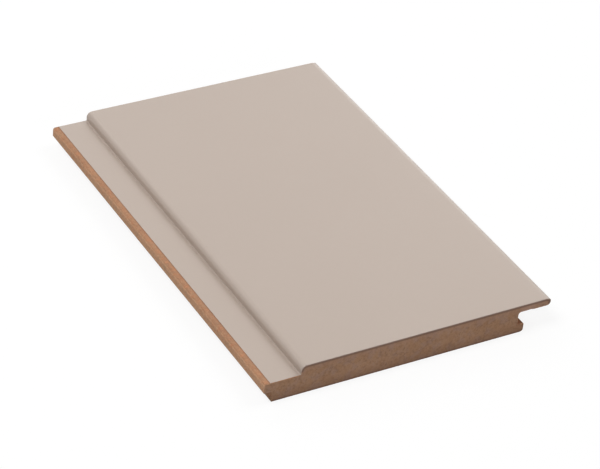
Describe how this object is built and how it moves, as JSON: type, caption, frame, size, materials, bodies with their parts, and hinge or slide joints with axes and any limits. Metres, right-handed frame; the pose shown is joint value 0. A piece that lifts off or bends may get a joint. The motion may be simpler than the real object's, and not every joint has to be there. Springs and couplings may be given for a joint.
{
  "type": "mdf wall panel board",
  "caption": "Flat MDF wall panelling board with a painted face, a rounded lap lip over a groove on one long edge and a tongue with a stepped flange on the other.",
  "frame": {"origin": "centre of the board's covered rectangle, on the plane of its back", "axes": "+X across the board from the tongue to the lip, +Y along its length, +Z from the back up to the painted face"},
  "size_m": [0.147, 0.22, 0.015],
  "materials": {
    "painted_mdf": "satin"
  },
  "bodies": {
    "root": {"wall_panel_board": "painted_mdf"}
  },
  "joints": []
}
